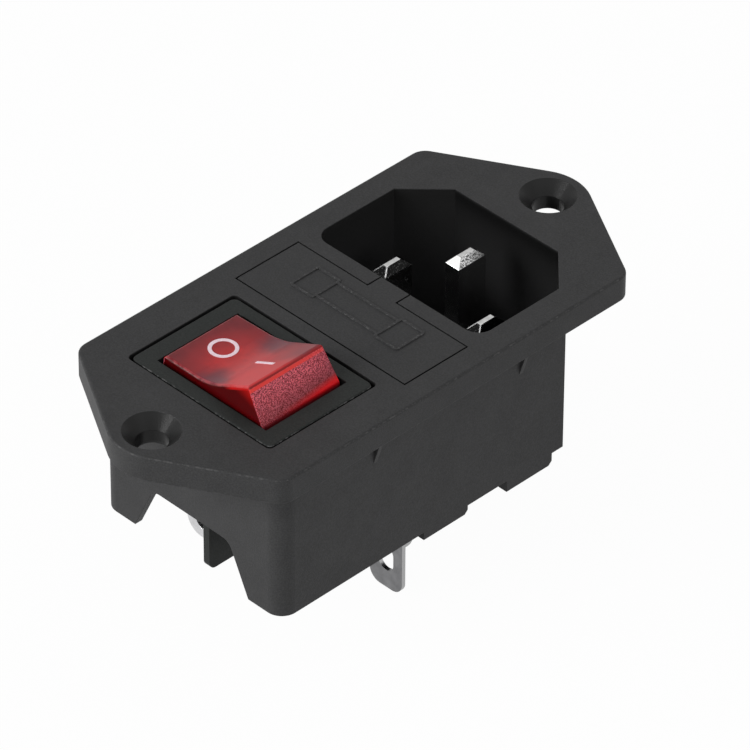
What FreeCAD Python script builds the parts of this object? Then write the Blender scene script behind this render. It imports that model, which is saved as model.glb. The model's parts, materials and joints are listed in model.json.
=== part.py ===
import FreeCAD, Part
import math
import os
from collections import namedtuple
from types import SimpleNamespace

import Sketcher

# Panel power entry module: C14 inlet, fuse drawer and lit rocker switch in one flanged housing.
# Millimetres. X runs across the module, +Y from the switch to the inlet, +Z out of the panel.
# The origin is midway between the two screw holes, on the panel plane under the flange.

SIZES = {
    # Flange
    "flange_lip": 2.0,
    "flange_thick": 3.0,
    "shoulder_reach": 1.4,
    "taper_angle": 30.0,
    "tip_radius": 6.0,
    "shoulder_radius": 2.0,
    "flange_edge": 0.3,
    "screw_margin": 4.22,
    "screw_bore": 3.5,
    "sink_width": 6.3,
    "sink_depth": 1.4,
    # Skirt behind the panel
    "side_wall": 1.2,
    "end_wall": 0.95,
    "inner_wall": 0.87,
    "skirt_round": 2.0,
    "chamfer_extra": 1.2,
    "bump_bevel": 0.45,
    "near_bump_offset": -2.46,
    "near_bump_length": 6.5,
    "near_bump_drop": 1.0,
    "far_bump_offset": -3.05,
    "far_bump_length": 6.8,
    "far_bump_drop": 1.45,
    "gusset_place": 10.65,
    "gusset_shift": 0.5,
    "gusset_width": 0.5,
    "gusset_reach": 1.2,
    "gusset_drop": 3.9,
    "notch_foot": 17.1,
    "notch_head": 11.4,
    "notch_rise": 6.1,
    "notch_round": 1.5,
    # Inlet
    "inlet_width": 24.5,
    "inlet_length": 16.5,
    "inlet_wall": 1.85,
    "inlet_side_wall": 1.25,
    "inlet_end_wall": 1.1,
    "inlet_base": 3.3,
    "inlet_depth": 17.0,
    "inlet_chamfer": 4.6,
    "inlet_round": 1.9,
    "pin_spread": 14.0,
    "pin_place": 6.4,
    "earth_offset": 4.0,
    "pin_width": 4.0,
    "pin_thick": 2.0,
    "pin_recess": 4.0,
    "earth_recess": 1.1,
    "pin_side_bevel": 0.7,
    "pin_end_bevel": 1.0,
    "pin_bevel_drop": 0.8,
    "pin_tab_drop": 6.7,
    # Solder tabs
    "tab_width": 4.8,
    "tab_thick": 0.8,
    "tab_round": 1.5,
    "eye_width": 2.2,
    "eye_length": 3.3,
    "eye_margin": 2.3,
    # Fuse drawer
    "plate_seat": 0.35,
    "plate_overlap": 0.84,
    "plate_wall": 0.85,
    "plate_thick": 2.0,
    "plate_place": -0.49,
    "plate_gap": 0.2,
    "pull_width": 4.1,
    "pull_thick": 1.2,
    "shaft_floor": 2.8,
    "drawer_play": 0.2,
    "drawer_cheek": 1.7,
    "drawer_side": 1.0,
    "drawer_web": 0.7,
    "drawer_rise": 1.1,
    "seat_gap": 0.05,
    "cap_lift": 0.2,
    "spare_roof": 1.0,
    "grip_gap": 0.2,
    "symbol_line": 0.3,
    "symbol_rise": 0.12,
    "symbol_inner": 4.45,
    "symbol_margin": 4.45,
    "symbol_cap": 4.3,
    "symbol_round": 0.35,
    "symbol_tube": 3.1,
    "symbol_shift": 0.9,
    # Fuses
    "fuse_length": 20.0,
    "cap_diameter": 5.2,
    "cap_length": 5.2,
    "cap_wall": 0.33,
    "glass_wall": 0.5,
    "fuse_wire": 0.3,
    "fuse_play": 0.02,
    "end_play": 0.2,
    # Fuse clips
    "clip_thick": 0.5,
    "clip_stand": 0.38,
    "clip_gap": 0.05,
    "leaf_inset": 2.7,
    "leaf_width": 2.5,
    "leaf_flat": 1.0,
    "leaf_return": 0.6,
    "leaf_tip": 1.9,
    "outlet_drop": 8.5,
    "tail_start": 0.3,
    "tail_width": 2.05,
    "tail_place": 3.05,
    "tail_drop": 6.7,
    "tail_round": 0.8,
    "link_gap": 0.05,
    # Switch case
    "switch_wall": 1.87,
    "switch_end_wall": 1.16,
    "bezel_end_lip": 1.0,
    "bezel_side_lip": 1.05,
    "bezel_thick": 2.4,
    "bezel_sink": 0.05,
    "bezel_round": 0.8,
    "bezel_edge": 0.25,
    "bezel_end_gap": 0.27,
    "bezel_side_gap": 0.27,
    "recess_round": 0.6,
    "panel_thick": 1.8,
    "case_end_wall": 1.3,
    "case_side_wall": 0.65,
    "case_depth": 13.55,
    "case_floor": 1.5,
    "case_play": 0.1,
    "latch_reach": 0.7,
    "latch_rise": 2.8,
    "latch_width": 6.0,
    "latch_gap": 0.1,
    "barrier_thick": 0.9,
    "barrier_drop": 6.5,
    "barrier_reach": 0.3,
    "barrier_round": 0.9,
    "divider_thick": 0.8,
    "divider_rise": 4.0,
    "pole_spread": 5.9,
    "switch_tab_drop": 6.65,
    "switch_tab_flat": 0.3,
    "switch_eye_margin": 1.15,
    # Rocker
    "rocker_tilt": 13.5,
    "pivot_drop": 0.75,
    "pivot_radius": 1.0,
    "pivot_play": 0.06,
    "pivot_end_gap": 0.1,
    "crown_inset": 1.39,
    "rocker_rise": 5.9,
    "rocker_slope": 12.5,
    "rocker_blend": 9.0,
    "rocker_end_gap": 0.25,
    "rocker_side_gap": 0.2,
    "skirt_rise": 1.7,
    "skirt_foot": 0.9,
    "cheek_half": 2.2,
    "cheek_drop": 1.9,
    "rocker_side_wall": 1.5,
    "crown_lean": 0.4,
    "rocker_wall": 1.1,
    "rocker_edge": 0.35,
    "stem_width": 3.4,
    "stem_drop": 2.6,
    "stem_gap": 2.5,
    # Plungers, springs and lamp in the rocker
    "plunger_radius": 1.05,
    "plunger_reach": 4.0,
    "plunger_top": 1.2,
    "plunger_slack": 0.05,
    "bore_top": 2.2,
    "spring_radius": 0.75,
    "spring_wire": 0.17,
    "spring_turns": 5.0,
    "spring_gap": 0.03,
    "lamp_gap": 0.4,
    "lamp_height": 1.85,
    "lamp_radius": 1.3,
    "lamp_start": -2.3,
    "lamp_length": 4.2,
    "lamp_tip": 0.9,
    "lead_radius": 0.2,
    "lead_overrun": 0.6,
    "resistor_radius": 0.8,
    "resistor_start": 2.1,
    "resistor_gap": 0.5,
    # Contact levers and contacts
    "lever_tilt": 8.0,
    "lever_end": 1.0,
    "lever_width": 3.0,
    "lever_thick": 0.5,
    "lever_play": 0.06,
    "lug_inner": 0.45,
    "lug_outer": 0.75,
    "lug_drop": 0.4,
    "contact_reach": 5.6,
    "contact_radius": 1.1,
    "contact_head": 0.5,
    "contact_play": 0.03,
    "fixed_head": 0.4,
    "fulcrum_play": 0.04,
    "fulcrum_half": 0.25,
    "fulcrum_foot": 0.8,
    "arm_height": 1.3,
    "terminal_shoulder": 1.1,
    "terminal_gap": 0.5,
    "seat_end": 2.0,
    "seat_margin": 0.4,
}

FULL_TURN = 360
EDGE_REACH = 0.005
EYE_ROUNDING = 0.49  # share of the eye's width, just short of two arcs that touch

doc = FreeCAD.newDocument("power_entry_module")
sheet = doc.addObject("Spreadsheet::Sheet", "sizes")
for row, (alias, number) in enumerate(SIZES.items(), start=1):
    sheet.set(f"A{row}", str(number))
    sheet.setAlias(f"A{row}", alias)
doc.recompute()


class Size:
    """A length or angle: its value now, and the expression on the sheet's cells that gives it."""

    def __init__(self, text, value):
        self.text = text
        self.value = value

    def __add__(self, other):
        other = as_size(other)
        return Size(f"({self.text} + {other.text})", self.value + other.value)

    def __sub__(self, other):
        other = as_size(other)
        return Size(f"({self.text} - {other.text})", self.value - other.value)

    def __rsub__(self, other):
        return as_size(other) - self

    def __mul__(self, other):
        other = as_size(other)
        return Size(f"({self.text} * {other.text})", self.value * other.value)

    def __truediv__(self, other):
        other = as_size(other)
        return Size(f"({self.text} / {other.text})", self.value / other.value)

    def __neg__(self):
        return Size(f"(0 - {self.text})", -self.value)

    __radd__ = __add__
    __rmul__ = __mul__


def as_size(item):
    """A plain number as a Size."""
    return item if isinstance(item, Size) else Size(repr(float(item)), float(item))


def sine(angle):
    return Size(f"sin({angle.text})", math.sin(math.radians(angle.value)))


def cosine(angle):
    return Size(f"cos({angle.text})", math.cos(math.radians(angle.value)))


def tangent(angle):
    return Size(f"tan({angle.text})", math.tan(math.radians(angle.value)))


def largest(one, other):
    return Size(f"max({one.text}; {other.text})", max(one.value, other.value))


size = SimpleNamespace(**{alias: Size(f"sizes.{alias}", sheet.get(alias)) for alias in SIZES})
Circle = namedtuple("Circle", "across up radius")
parts = []


# Building blocks

def keep(item, label):
    """Name a finished sub-part; its label names its file."""
    item.Label = label
    parts.append(item)
    return item


def new_body(label):
    return keep(doc.addObject("PartDesign::Body", label), label)


def draw_outline(sketch, corners):
    """A closed outline of straight edges, each corner held by its two distances from the origin."""
    first = sketch.GeometryCount
    corners = [(as_size(across), as_size(up)) for across, up in corners]
    points = [FreeCAD.Vector(across.value, up.value, 0) for across, up in corners]
    following = points[1:] + points[:1]
    for start, end in zip(points, following):
        sketch.addGeometry(Part.LineSegment(start, end), False)
    for index in range(len(points)):
        after = (index + 1) % len(points)
        sketch.addConstraint(Sketcher.Constraint("Coincident", first + index, 2, first + after, 1))
    for index, corner in enumerate(corners):
        for kind, distance in zip(("DistanceX", "DistanceY"), corner):
            hold(sketch, Sketcher.Constraint(kind, -1, 1, first + index, 1, distance.value), distance)


def draw_circle(sketch, circle):
    """A circle held by its centre's two distances from the origin and its radius."""
    across, up, radius = (as_size(item) for item in circle)
    centre = FreeCAD.Vector(across.value, up.value, 0)
    ring = sketch.addGeometry(Part.Circle(centre, FreeCAD.Vector(0, 0, 1), radius.value), False)
    hold(sketch, Sketcher.Constraint("DistanceX", -1, 1, ring, 3, across.value), across)
    hold(sketch, Sketcher.Constraint("DistanceY", -1, 1, ring, 3, up.value), up)
    hold(sketch, Sketcher.Constraint("Radius", ring, radius.value), radius)


def hold(sketch, constraint, distance):
    number = sketch.addConstraint(constraint)
    sketch.setExpression(f"Constraints[{number}]", distance.text)


def new_sketch(body, plane, offset, shapes):
    """A sketch on one of the body's own planes, moved along that plane's normal."""
    sketch = body.newObject("Sketcher::SketchObject", "Sketch")
    role = plane + "_Plane"
    support = next(item for item in body.Origin.OriginFeatures if item.Role == role)
    sketch.AttachmentSupport = (support, [""])
    sketch.MapMode = "FlatFace"
    sketch.setExpression("AttachmentOffset.Base.z", as_size(offset).text)
    for shape in shapes:
        if isinstance(shape, Circle):
            draw_circle(sketch, shape)
        else:
            draw_outline(sketch, shape)
    return sketch


def volume_of(body):
    return 0.0 if body.Shape.isNull() else body.Shape.Volume


def extrude(body, kind, plane, low, high, shapes):
    """Fill or empty the shapes from low to high along the plane's axis."""
    before = volume_of(body)
    low, high = as_size(low), as_size(high)
    start = -high if plane == "XZ" else low  # this plane's normal points to -Y
    sketch = new_sketch(body, plane, start, shapes)
    feature = body.newObject(f"PartDesign::{kind}", kind)
    feature.Profile = sketch
    feature.setExpression("Length", (high - low).text)
    feature.Reversed = kind == "Pocket"
    doc.recompute()
    change = volume_of(body) - before
    if change == 0 or (change > 0) != (kind == "Pad"):
        raise ValueError(f"{body.Label}: {feature.Name} changed the volume by {change}")
    return feature


def fill(body, plane, low, high, *shapes):
    return extrude(body, "Pad", plane, low, high, shapes)


def empty(body, plane, low, high, *shapes):
    return extrude(body, "Pocket", plane, low, high, shapes)


def dress(body, kind, amount, choose):
    """Round ("Fillet") or bevel ("Chamfer") the edges that choose picks."""
    base = body.Tip
    names = [f"Edge{number}" for number, edge in enumerate(base.Shape.Edges, start=1) if choose(edge)]
    if not names:
        raise ValueError(f"{body.Label}: no edge found for a {kind}")
    feature = body.newObject(f"PartDesign::{kind}", kind)
    feature.Base = (base, names)
    feature.setExpression("Radius" if kind == "Fillet" else "Size", as_size(amount).text)
    doc.recompute()
    return feature


def lines_along(axis, *places):
    """Picks straight edges parallel to an axis, through the places given by their other coordinates."""
    along = "XYZ".index(axis)
    others = [index for index in range(3) if index != along]
    spots = [tuple(as_size(item).value for item in place) for place in places]

    def choose(edge):
        ends = [vertex.Point for vertex in edge.Vertexes]
        if len(ends) != 2 or edge.Curve.TypeId != "Part::GeomLine":
            return False
        start, end = ends
        if any(abs(start[index] - end[index]) > EDGE_REACH for index in others):
            return False
        here = [start[index] for index in others]
        return any(all(abs(a - b) < EDGE_REACH for a, b in zip(here, spot)) for spot in spots)

    return choose


def edges_at_height(height):
    """Picks the edges that lie flat at one height."""
    level = as_size(height).value

    def choose(edge):
        box = edge.BoundBox
        return abs(box.ZMin - level) < EDGE_REACH and abs(box.ZMax - level) < EDGE_REACH

    return choose


def rectangle(low_across, high_across, low_up, high_up):
    return [(low_across, low_up), (high_across, low_up), (high_across, high_up), (low_across, high_up)]


def bevelled_foot(low_across, high_across, foot, head, bevel):
    """A rectangle whose lower corner at the high end is bevelled."""
    return [
        (low_across, head), (low_across, foot), (high_across - bevel, foot),
        (high_across, foot + bevel), (high_across, head),
    ]


def set_place(item, base, tilt=None, axis=(0, 1, 0)):
    """Put a finished item at base, turned by tilt about axis."""
    if tilt is not None:
        turn = FreeCAD.Rotation(FreeCAD.Vector(*axis), tilt.value)
        item.Placement = FreeCAD.Placement(FreeCAD.Vector(), turn)
        item.setExpression("Placement.Rotation.Angle", tilt.text)
    for name, distance in zip("xyz", base):
        item.setExpression(f"Placement.Base.{name}", as_size(distance).text)
    doc.recompute()


def rod(axis, start, length, radius):
    """A round bar from start along an axis."""
    turns = {
        "X": FreeCAD.Rotation(FreeCAD.Vector(0, 1, 0), 90),
        "Y": FreeCAD.Rotation(FreeCAD.Vector(1, 0, 0), -90),
    }
    bar = doc.addObject("Part::Cylinder", "Bar")
    bar.Placement = FreeCAD.Placement(FreeCAD.Vector(), turns[axis])
    bar.setExpression("Radius", radius.text)
    bar.setExpression("Height", length.text)
    for name, distance in zip("xyz", start):
        bar.setExpression(f"Placement.Base.{name}", as_size(distance).text)
    return bar


def ball(centre, radius):
    sphere = doc.addObject("Part::Sphere", "Ball")
    sphere.setExpression("Radius", radius.text)
    for name, distance in zip("xyz", centre):
        sphere.setExpression(f"Placement.Base.{name}", as_size(distance).text)
    return sphere


def join(label, *items):
    fused = doc.addObject("Part::MultiFuse", label)
    fused.Shapes = list(items)
    fused.Refine = True
    doc.recompute()
    return keep(fused, label)


# Fuse drawer and its shaft

cap_radius = size.cap_diameter / 2
glass_radius = cap_radius - size.cap_wall - size.fuse_play
half_fuse = size.fuse_length / 2
half_trough = half_fuse + size.end_play
half_core = half_trough + size.drawer_cheek
half_shaft = half_core + size.drawer_play
half_plate = half_shaft + size.plate_seat
core_low = size.plate_place - cap_radius - size.drawer_side
core_high = size.plate_place + cap_radius + size.drawer_side
plate_low = core_low - size.plate_overlap
plate_high = core_high + size.plate_overlap
shaft_low = plate_low - size.plate_gap
shaft_high = plate_high + size.plate_gap

# Inlet

half_inlet = size.inlet_width / 2
inlet_start = shaft_high + size.inlet_wall
inlet_end = inlet_start + size.inlet_length
pin_line = inlet_start + size.pin_place
earth_line = pin_line + size.earth_offset

# Rocker and switch case, worked out from the contacts and poles outwards

pole = size.pole_spread / 2
poles = {"near": -pole, "far": pole}
half_cavity = pole + size.plunger_radius + size.plunger_slack
half_rocker = half_cavity + size.rocker_side_wall
open_half_width = half_rocker + size.rocker_side_gap
case_half_width = open_half_width + size.case_side_wall
bezel_half_width = case_half_width + size.bezel_side_lip
recess_half_width = bezel_half_width + size.bezel_side_gap
seat_reach = size.contact_reach + size.seat_end
half_opening = seat_reach + size.terminal_gap
half_case = half_opening + size.case_end_wall
half_bezel = half_case + size.bezel_end_lip
switch_tab_end = seat_reach - size.terminal_shoulder
switch_tab_start = switch_tab_end - size.tab_width
skirt_half = half_opening - size.rocker_end_gap
crown_half = skirt_half - size.crown_inset
lamp_place = skirt_half - size.rocker_wall - size.lamp_radius - size.lamp_gap
switch_place = shaft_low - size.switch_wall - recess_half_width
case_low = switch_place - case_half_width
case_high = switch_place + case_half_width

# Skirt and flange around them

half_skirt = largest(
    half_plate + size.plate_gap + size.plate_wall,
    half_inlet + size.inlet_side_wall,
)
half_length = largest(
    inlet_end + size.inlet_end_wall,
    recess_half_width + size.switch_end_wall - switch_place,
)
half_flange = half_skirt + size.flange_lip
shoulder = half_length + size.shoulder_reach
apex = shoulder + half_flange * tangent(size.taper_angle)
tip_end = apex - size.tip_radius / cosine(size.taper_angle) + size.tip_radius
screw_place = tip_end - size.screw_margin

# Levels

face = size.flange_thick
plate_back = face - size.plate_thick
spare_level = plate_back - size.spare_roof - cap_radius
fuse_rise = size.shaft_floor + size.drawer_rise + size.cap_lift + cap_radius
foot = -largest(
    size.inlet_depth - face + size.inlet_base,
    size.cap_diameter + size.drawer_web + fuse_rise - spare_level,
)
inlet_floor = face - size.inlet_depth
shaft_base = foot + size.shaft_floor
drawer_end = shaft_base + size.drawer_rise
fuse_level = foot + fuse_rise
bezel_top = face - size.bezel_sink
bezel_back = bezel_top - size.bezel_thick
panel_back = bezel_back - size.panel_thick
case_back = bezel_back - size.case_depth
case_inside = case_back + size.case_floor
switch_tab_foot = case_back - size.switch_tab_drop
pivot_level = -size.pivot_drop
pivot_place = (0, switch_place, pivot_level)
lever_level = (
    pivot_level - size.plunger_reach - size.plunger_radius - size.lever_play - size.lever_thick
)

# Fuse clips

clip_outer = shaft_low + size.clip_stand
clip_inner = clip_outer + size.clip_thick
clip_end = half_shaft
clip_start = clip_end - size.tab_width
leaf_start = half_fuse - size.leaf_inset
leaf_end = leaf_start + size.leaf_width


# Housing

def make_housing():
    """One moulding: flange, inlet shroud, fuse shaft, switch well and the skirt behind the panel."""
    body = new_body("housing")
    half = half_flange
    outline = [(half, -shoulder), (half, shoulder), (0, apex)]
    outline += [(-half, shoulder), (-half, -shoulder), (0, -apex)]
    fill(body, "XY", 0, face, outline)
    dress(body, "Fillet", size.tip_radius, lines_along("Z", (0, apex), (0, -apex)))
    corners = [(side * half, end * shoulder) for side in (1, -1) for end in (1, -1)]
    dress(body, "Fillet", size.shoulder_radius, lines_along("Z", *corners))
    dress(body, "Fillet", size.flange_edge, edges_at_height(face))

    chamfer = size.inlet_chamfer + size.chamfer_extra
    chamfer_side = half_length - chamfer
    chamfer_end = half_skirt - chamfer
    skirt = [(-half_skirt, -half_length), (half_skirt, -half_length), (half_skirt, chamfer_side)]
    skirt += [(chamfer_end, half_length), (-chamfer_end, half_length), (-half_skirt, chamfer_side)]
    fill(body, "XY", foot, 0, skirt)
    dress(body, "Fillet", size.skirt_round,
          lines_along("Z", (half_skirt, -half_length), (-half_skirt, -half_length)))
    add_bumps(body)
    add_gussets(body)
    cut_inlet(body)
    cut_fuse_shaft(body)
    cut_switch_well(body)
    for end in (1, -1):
        cut_screw_hole(body, end * screw_place)
    return body


def add_bumps(body):
    """Feet of the long walls, which stand lower than the rest of the skirt."""
    bumps = (
        (size.plate_place + size.near_bump_offset, size.near_bump_length, size.near_bump_drop),
        (pin_line + size.far_bump_offset, size.far_bump_length, size.far_bump_drop),
    )
    for start, length, drop in bumps:
        shape = bevelled_foot(start, start + length, foot - drop, foot, size.bump_bevel)
        fill(body, "YZ", half_skirt - size.side_wall, half_skirt, shape)
        fill(body, "YZ", -half_skirt, size.side_wall - half_skirt, shape)


def add_gussets(body):
    """Small triangles between the flange and the long walls."""
    for end in (1, -1):
        middle = end * size.gusset_place + size.gusset_shift
        shapes = [
            [(side * half_skirt, 0), (side * (half_skirt + size.gusset_reach), 0),
             (side * half_skirt, -size.gusset_drop)]
            for side in (1, -1)
        ]
        fill(body, "XZ", middle - size.gusset_width / 2, middle + size.gusset_width / 2, *shapes)


def cut_inlet(body):
    """The inlet's cavity, and the slots that hold its pins."""
    side_end = inlet_end - size.inlet_chamfer
    end_half = half_inlet - size.inlet_chamfer
    cavity = [(-half_inlet, inlet_start), (half_inlet, inlet_start), (half_inlet, side_end)]
    cavity += [(end_half, inlet_end), (-end_half, inlet_end), (-half_inlet, side_end)]
    empty(body, "XY", inlet_floor, face, cavity)
    near_corners = [(half_inlet, inlet_start), (-half_inlet, inlet_start)]
    dress(body, "Fillet", size.inlet_round, lines_along("Z", *near_corners))
    slots = [
        rectangle(across - size.pin_thick / 2, across + size.pin_thick / 2,
                  line - size.pin_width / 2, line + size.pin_width / 2)
        for across, line in pin_places().values()
    ]
    empty(body, "XY", foot, inlet_floor, *slots)


def pin_places():
    spread = size.pin_spread / 2
    return {
        "line_pin": (-spread, pin_line),
        "neutral_pin": (spread, pin_line),
        "earth_pin": (as_size(0), earth_line),
    }


def cut_fuse_shaft(body):
    """The drawer's shaft, the seat of its front plate and the slots for the fuse clips."""
    half_seat = half_plate + size.plate_gap
    half_pull = size.pull_width / 2 + size.plate_gap
    seat = plate_back - size.seat_gap
    empty(body, "XY", seat, face, rectangle(-half_seat, half_seat, shaft_low, shaft_high))
    empty(body, "XY", face - size.pull_thick - size.seat_gap, face,
          rectangle(-half_pull, half_pull, shaft_high, inlet_start))
    empty(body, "XY", shaft_base, seat, rectangle(-half_shaft, half_shaft, shaft_low, shaft_high))
    tail_low, tail_high, tail_start, tail_end = tail_box()
    empty(body, "XY", foot, shaft_base,
          rectangle(clip_start, clip_end, clip_outer, clip_inner),
          rectangle(-clip_end, -clip_start, clip_outer, clip_inner),
          rectangle(tail_start, tail_end, tail_low, tail_high))


def tail_box():
    """Where the outlet clip's tail passes the shaft's floor: along, then across."""
    low = clip_inner + size.tail_place
    start = leaf_start + size.tail_start
    return low, low + size.tail_width, start, start + size.clip_thick


def cut_switch_well(body):
    """The recess and cut-out for the switch, the hollow behind them and the notch in the end wall."""
    half_long = half_bezel + size.bezel_end_gap
    middle = switch_place
    empty(body, "XY", bezel_back, face,
          rectangle(-half_long, half_long, middle - recess_half_width, middle + recess_half_width))
    corners = [(side * half_long, middle + end * recess_half_width) for side in (1, -1) for end in (1, -1)]
    dress(body, "Fillet", size.recess_round, lines_along("Z", *corners))
    cut_long = half_case + size.case_play
    cut_low = case_low - size.case_play
    cut_high = case_high + size.case_play
    empty(body, "XY", panel_back, bezel_back, rectangle(-cut_long, cut_long, cut_low, cut_high))
    half_hollow = half_skirt - size.side_wall
    hollow_low = size.end_wall - half_length
    hollow_high = shaft_low - size.inner_wall
    empty(body, "XY", foot, panel_back, rectangle(-half_hollow, half_hollow, hollow_low, hollow_high))
    dress(body, "Fillet", size.skirt_round - size.end_wall,
          lines_along("Z", (half_hollow, hollow_low), (-half_hollow, hollow_low)))
    head = foot + size.notch_rise
    notch = [(-size.notch_foot / 2, foot), (size.notch_foot / 2, foot)]
    notch += [(size.notch_head / 2, head), (-size.notch_head / 2, head)]
    empty(body, "XZ", -half_length, hollow_low, notch)
    dress(body, "Fillet", size.notch_round,
          lines_along("Y", (size.notch_head / 2, head), (-size.notch_head / 2, head)))


def cut_screw_hole(body, place):
    """A countersunk hole through the flange, turned about its own axis."""
    bore = size.screw_bore / 2
    cone_foot = face - size.sink_depth
    profile = [(0, 0), (bore, 0), (bore, cone_foot), (size.sink_width / 2, face), (0, face)]
    before = volume_of(body)
    sketch = new_sketch(body, "YZ", 0, [profile])
    sketch.setExpression("AttachmentOffset.Base.x", place.text)
    groove = body.newObject("PartDesign::Groove", "Groove")
    groove.Profile = sketch
    groove.ReferenceAxis = (sketch, ["V_Axis"])
    groove.Angle = FULL_TURN
    doc.recompute()
    if volume_of(body) >= before:
        raise ValueError("a screw hole removed nothing")


# Inlet pins

def make_pins():
    recesses = {"earth_pin": size.earth_recess}
    for label, (across, line) in pin_places().items():
        make_pin(label, across, line, face - recesses.get(label, size.pin_recess))


def make_pin(label, across, line, tip):
    """A blade with bevelled tip and, behind the inlet's floor, a solder tab."""
    body = new_body(label)
    half_thick = size.pin_thick / 2
    half_wide = size.pin_width / 2
    fill(body, "XY", foot, tip, rectangle(-half_thick, half_thick, -half_wide, half_wide))
    slope_tip(body, "XZ", half_thick, size.pin_side_bevel, half_wide, tip)
    slope_tip(body, "YZ", half_wide, size.pin_end_bevel, half_thick, tip)
    tab_foot = foot - size.pin_tab_drop
    half_tab = size.tab_width / 2
    fill(body, "YZ", -size.tab_thick / 2, size.tab_thick / 2,
         rectangle(-half_tab, half_tab, tab_foot, foot))
    dress(body, "Fillet", size.tab_round, lines_along("X", (-half_tab, tab_foot), (half_tab, tab_foot)))
    cut_eye(body, "YZ", as_size(0), tab_foot + size.eye_margin, -size.tab_thick / 2, size.tab_thick / 2)
    set_place(body, (across, line, 0))


def slope_tip(body, plane, edge, run, reach, tip):
    """Slope two opposite sides of a pin's tip, each from its edge inwards over run."""
    drop = tip - size.pin_bevel_drop
    slivers = [
        [(side * edge, drop), (side * edge, tip), (side * (edge - run), tip)] for side in (1, -1)
    ]
    empty(body, plane, -reach, reach, *slivers)


def cut_eye(body, plane, middle, eye_foot, low, high):
    """The oblong hole of a solder tab."""
    half_eye = size.eye_width / 2
    eye_head = eye_foot + size.eye_length
    empty(body, plane, low, high, rectangle(middle - half_eye, middle + half_eye, eye_foot, eye_head))
    corners = [(middle + side * half_eye, level) for side in (1, -1) for level in (eye_foot, eye_head)]
    along = {"YZ": "X", "XZ": "Y"}[plane]
    dress(body, "Fillet", size.eye_width * EYE_ROUNDING, lines_along(along, *corners))


# Fuse drawer and fuses

def make_fuse_drawer():
    """Front plate with pull tab; behind it a core with a trough for each fuse."""
    body = new_body("fuse_drawer")
    middle = size.plate_place
    fill(body, "XY", plate_back, face, rectangle(-half_plate, half_plate, plate_low, plate_high))
    fill(body, "XY", face - size.pull_thick, face,
         rectangle(-size.pull_width / 2, size.pull_width / 2, plate_high, inlet_start))
    fill(body, "XY", drawer_end, plate_back, rectangle(-half_core, half_core, core_low, core_high))

    half_grip = half_fuse - size.cap_length - size.grip_gap
    grip = glass_radius + size.fuse_play
    slack = cap_radius + size.end_play
    empty(body, "YZ", -half_grip, half_grip,
          rectangle(middle - grip, middle + grip, drawer_end, fuse_level + grip))
    window = rectangle(core_low, core_high, drawer_end, fuse_level + slack)
    empty(body, "YZ", half_grip, half_trough, window)
    empty(body, "YZ", -half_trough, -half_grip, window)
    spare_half = cap_radius + size.clip_gap
    empty(body, "YZ", -half_trough, half_trough,
          rectangle(core_low, middle + spare_half, spare_level - spare_half, spare_level + spare_half))
    add_fuse_symbol(body)
    return body


def add_fuse_symbol(body):
    """The plain fuse symbol in thin raised lines: two end boxes joined by two lines."""
    line = size.symbol_line
    middle = size.plate_place + size.symbol_shift
    low = middle - size.symbol_cap / 2
    high = middle + size.symbol_cap / 2
    top = face + size.symbol_rise
    for side in (1, -1):
        inner = side * size.symbol_inner
        outer = side * (half_plate - size.symbol_margin)
        fill(body, "XY", face, top,
             rectangle(inner, outer, low, high),
             rectangle(inner + side * line, outer - side * line, low + line, high - line))
        corners = [(across, up) for across in (inner, outer) for up in (low, high)]
        dress(body, "Fillet", size.symbol_round, lines_along("Z", *corners))
    for side in (1, -1):
        rail = middle + side * size.symbol_tube / 2
        fill(body, "XY", face, top,
             rectangle(-size.symbol_inner, size.symbol_inner, rail - line / 2, rail + line / 2))


def make_fuse(prefix, level):
    """Glass tube, two pressed caps and the wire through it."""
    middle = size.plate_place
    cap_start = half_fuse - size.cap_length
    cap_floor = half_fuse - size.cap_wall
    glass_end = cap_floor - size.fuse_play
    tube = new_body(f"{prefix}_tube")
    fill(tube, "YZ", -glass_end, glass_end,
         Circle(middle, level, glass_radius), Circle(middle, level, glass_radius - size.glass_wall))
    for name, side in (("left", -1), ("right", 1)):
        cap = new_body(f"{prefix}_cap_{name}")
        low, high = sorted((side * cap_start, side * half_fuse), key=lambda item: item.value)
        fill(cap, "YZ", low, high, Circle(middle, level, cap_radius))
        low, high = sorted((side * cap_start, side * cap_floor), key=lambda item: item.value)
        empty(cap, "YZ", low, high, Circle(middle, level, glass_radius + size.fuse_play))
    wire = new_body(f"{prefix}_wire")
    fill(wire, "YZ", -cap_floor, cap_floor, Circle(middle, level, size.fuse_wire / 2))


# Fuse clips

def leaf_profile(side):
    """One sprung leaf, bowed towards the cap; side is -1 near the switch and 1 near the inlet."""
    middle = size.plate_place
    thick = size.clip_thick
    stand = middle - clip_outer
    apex = cap_radius + size.clip_gap
    half_flat = size.leaf_flat / 2
    inner = [
        (stand - thick, shaft_base), (stand - thick, shaft_base + size.drawer_rise),
        (apex, fuse_level - half_flat), (apex, fuse_level + half_flat),
        (apex + size.leaf_return, fuse_level + size.leaf_tip),
    ]
    outer = [(across + thick, level) for across, level in reversed(inner)]
    return [(middle + side * across, level) for across, level in inner + outer]


def add_clip_leaves(body, side):
    """The clip's floor strip and its two leaves; side is 1 at +X and -1 at -X."""
    ends = (side * leaf_start, side * leaf_end)
    low, high = sorted(ends, key=lambda item: item.value)
    reach = size.plate_place - clip_outer
    fill(body, "YZ", low, high,
         rectangle(clip_outer, size.plate_place + reach, shaft_base, shaft_base + size.clip_thick))
    fill(body, "YZ", low, high, leaf_profile(-1))
    fill(body, "YZ", low, high, leaf_profile(1))


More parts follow.
